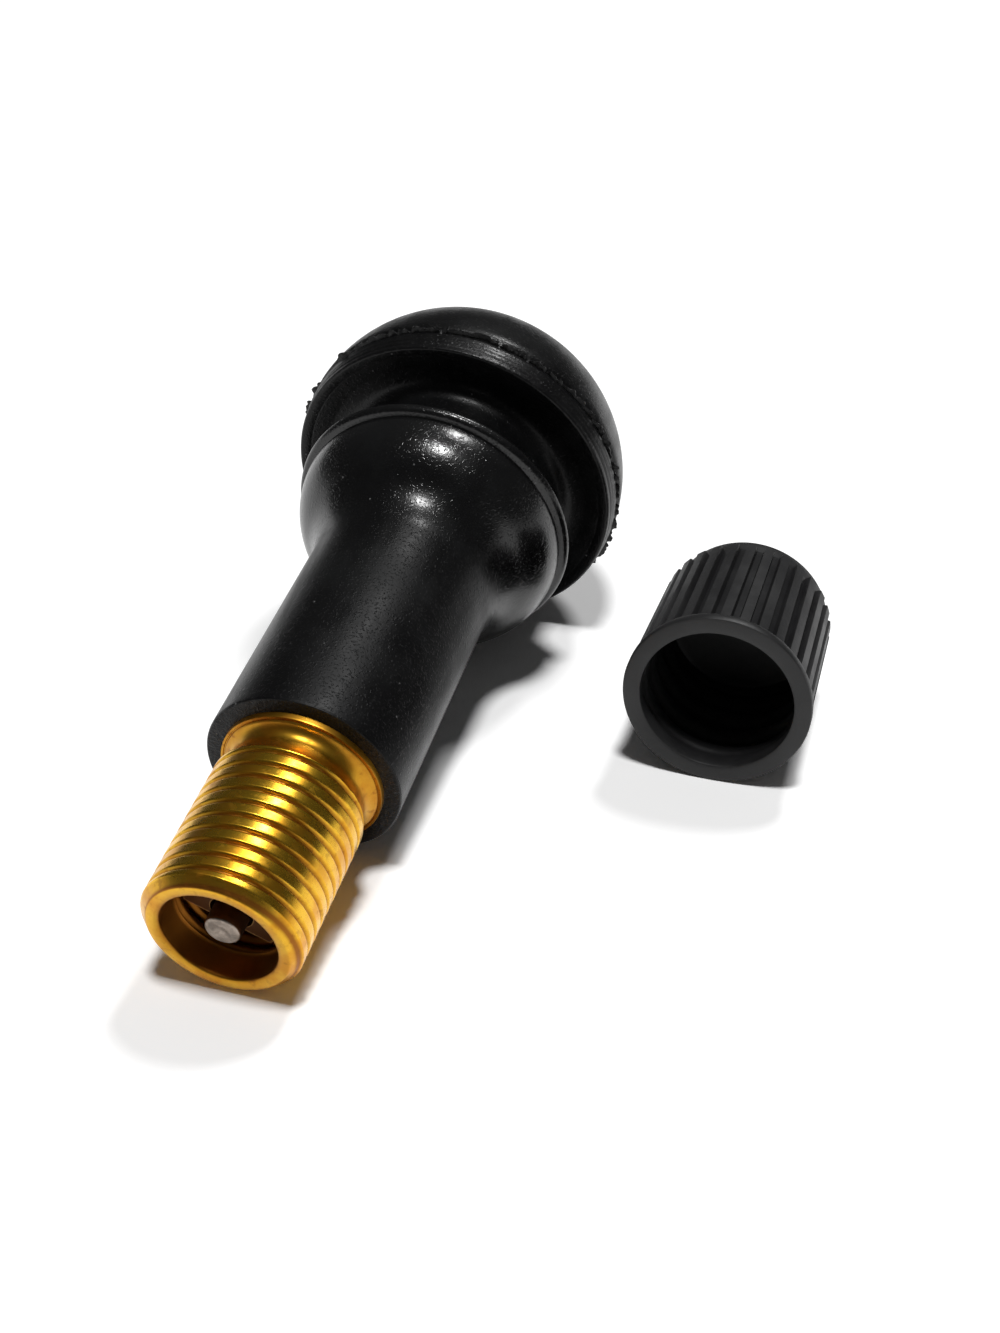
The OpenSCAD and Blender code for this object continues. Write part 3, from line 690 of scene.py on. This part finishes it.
# %% The spring
LEDGE, SHOULDER, PRESS = LENGTH - 14.4, LENGTH - PIN_SHOULDER, 1.4
SPRING_TURNS, STEPS_A_TURN, COIL_R, WIRE = 9, 30, 0.78, 0.28
spring_piece = new_object("spring_wound", bpy.data.meshes.new("spring_wound"))
run(spring_piece, spring_tree, Turns=float(SPRING_TURNS), Radius=COIL_R * MM, Wire=WIRE * MM,
    Length=(SHOULDER - LEDGE) * MM, Steps=SPRING_TURNS * STEPS_A_TURN + 1, Material=spring_steel)
lay_spring = LAY_VALVE @ Matrix.Translation((0, 0, LEDGE * MM))
settle(spring_piece, lay_spring, "core", "spring_steel", "core_spring")
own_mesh(spring_piece)

# %% [markdown]
# The cap is one plastic moulding: a thin flange at the mouth, thirty flat ribs that draw in a little and
# end short of the top, a plain edge past them, and a bore with a coarse moulded thread. The ribs could
# be thirty boxes, but a moulding has no seams, so they are drawn out of one wall. Points are set closer
# together at the edges of the ribs, so that the flanks come out crisp. The drawn ribs stop a little
# before those of the solid.

# %% Section of the cap
RIBS, RIB_WIDTH, RIB_EDGE, RIB_DEPTH, RIB_BEVEL = 30, 0.50, 0.16, 0.35, 0.05
CAP_BORE_R, CAP_BORE_END, CAP_PITCH = 3.97, 8.0, 1.6
flange_r, rib_end_r = CAP_FLANGE_R - SKIN, CAP_RIB_END_R - SKIN
root_r, rib_stop = rib_end_r - RIB_DEPTH, CAP_RIB_END - 0.35
outside = [(CAP_BORE_R + 0.12, 0), (4.3, 0.0), (4.75, 0.0), (4.86, 0.03), (flange_r, 0.09)]
outside += [(flange_r, 0.46), (4.87, 0.53), (4.83, CAP_FLANGE_T)]
ribbed = [(4.80, CAP_FLANGE_T + 0.01)]
ribbed += line((4.798, 0.65), (rib_end_r + 0.003, rib_stop - 2 * RIB_BEVEL), 10)
ribbed += [(rib_end_r, rib_stop - RIB_BEVEL), (rib_end_r - RIB_BEVEL, rib_stop)]
top = line((root_r, rib_stop + 0.02), (root_r, CAP_LEN - 0.1), 2)
top += [(root_r - 0.03, CAP_LEN - 0.03), (root_r - 0.1, CAP_LEN)]
top += [(3.0, CAP_LEN), (1.5, CAP_LEN), (0, CAP_LEN)]
bottom = [(0, CAP_BORE_END), (2.0, CAP_BORE_END), (3.6, CAP_BORE_END), (CAP_BORE_R, CAP_BORE_END - 0.1)]
bore = line((CAP_BORE_R, CAP_BORE_END - 0.2), (CAP_BORE_R, 0.9), 60)
entry = [(CAP_BORE_R, 0.5), (CAP_BORE_R, 0.12), (4.0, 0.05)]
section = outside + ribbed + top + bottom + bore + entry
print("cap section:", len(section), "points")

# %% Turn the cap, rib it and thread it
marks = (0.0, 0.2, 0.36, 0.44, 0.48, 0.50, 0.54, 0.58, 0.62, 0.66, 0.70, 0.78, 0.9)
cell = np.array(sorted({-m for m in marks} | set(marks) | {-1.0}))
cap_angles = np.concatenate([(i + 0.5 + cell / 2) * 2 * math.pi / RIBS for i in range(RIBS)])
rib_mask, inner = np.zeros((2, len(section)))
top_at, bore_at = len(outside + ribbed), len(outside + ribbed + top + bottom)
rib_mask[len(outside):top_at] = 1
rib_mask[top_at - 1] = 1 - RIB_BEVEL / RIB_DEPTH
run_in = np.clip(np.linspace(0, 14, len(bore)), 0, 1)
inner[bore_at:bore_at + len(bore)] = run_in * run_in[::-1]
cap_piece = lathe("cap_ribbed", section, cap_angles, {"ribbed": rib_mask, "inner": inner})
run(cap_piece, rib_tree, Count=float(RIBS), Width=RIB_WIDTH, Edge=RIB_EDGE, Depth=RIB_DEPTH * MM,
    Material=cap_plastic)
run(cap_piece, thread_tree, Mask="inner", Pitch=CAP_PITCH * MM, Crest=CAP_BORE_R * MM, Depth=0.22 * MM,
    Start=0.2, Root=0.1, Land=0.8, Side=-1.0, Material=cap_plastic)
settle(cap_piece, LAY_CAP, "valve", "cap_plastic", "dust_cap", crease=35)

# %% [markdown]
# The rest of the core keeps its solids: barrel, seals and cup are plain turned pieces already, and they
# only need paint.

# %% Paint the solids that stay
STAYING = {
    "core_barrel": core_brass, "barrel_gasket": red_seal, "core_cup": core_brass, "cup_gasket": black_seal}
for name, paint in STAYING.items():
    nodes[name].data.materials.clear()
    nodes[name].data.materials.append(paint)
print("painted solids:", [n for n in nodes if not nodes[n].hide_render])

# %% [markdown]
# The stage is a white surface under two small lamps, as the highlights show: the front one, nearly
# overhead, makes the two bright spots on the flare, and the back one makes the bright column down the
# thread and the grey sheen on the sleeve. The room around them is dark. More light could whiten the
# floor, but it would bleach the object too, so the floor is only paler to the rays that see it.

# %% Floor
FLOOR_GREY, FLOOR_SEEN, FLOOR_HALF = (0.8, 0.8, 0.8), (1.2, 1.2, 1.2), 3
floor_paint, pen, place = new_paint("floor")
path = pen.add("ShaderNodeLightPath", out="Is Camera Ray")
seen = path + path.at("Is Glossy Ray") + path.at("Is Transmission Ray")
chalk = pen.add("ShaderNodeBsdfDiffuse", {"Color": blend(seen, FLOOR_GREY, FLOOR_SEEN)})
chalk.close("ShaderNodeOutputMaterial")
floor_mesh = bpy.data.meshes.new("floor")
corners = [(x * FLOOR_HALF, y * FLOOR_HALF, 0) for x, y in ((-1, -1), (1, -1), (1, 1), (-1, 1))]
floor_mesh.from_pydata(corners, [], [(0, 1, 2, 3)])
floor_mesh.materials.append(floor_paint)
floor = new_object("floor", floor_mesh)
print("floor:", 2 * FLOOR_HALF, "m wide")


# %% Lamps and sky
def lamp(name, place, size, watts):
    data = bpy.data.lights.new(name, "AREA")
    data.shape, data.size, data.energy = "DISK", size, watts
    obj = new_object(name, data)
    obj.location = place
    obj.rotation_euler = (-Vector(place)).to_track_quat("-Z", "Y").to_euler()


lamp("front", (0.048, -0.095, 0.591), 0.10, 2.3)
lamp("back", (0.100, 0.305, 0.572), 0.12, 1.6)

world = bpy.data.worlds.new("sky")
bpy.context.scene.world = world
world.use_nodes = True
sky = world.node_tree.nodes["Background"]
sky.inputs["Color"].default_value = (1, 1, 1, 1)
sky.inputs["Strength"].default_value = 0.06

# %% [markdown]
# The camera comes from the photograph: the circles of the mouth, the thread, the rubber and the cap give
# its place and its lens. It looks down on the valve from in front, a little to the right.

# %% Camera
CAMERA_AT = (0.02165, -0.07149, 0.05613)
forward, right = Vector((-0.24034, 0.79365, -0.55889)), Vector((0.95708, 0.28984, 0.0))
up = right.cross(forward)
camera_data = bpy.data.cameras.new("camera")
camera_data.sensor_width, camera_data.lens, camera_data.clip_start = 36, 47.08, 0.001
camera = new_object("camera", camera_data)
turned = Matrix((right, up, -forward)).transposed().to_4x4()
camera.matrix_world = Matrix.Translation(CAMERA_AT) @ turned
bpy.context.scene.camera = camera
bpy.context.scene.view_settings.view_transform = "Standard"
print("camera at", [round(c, 4) for c in camera.location])
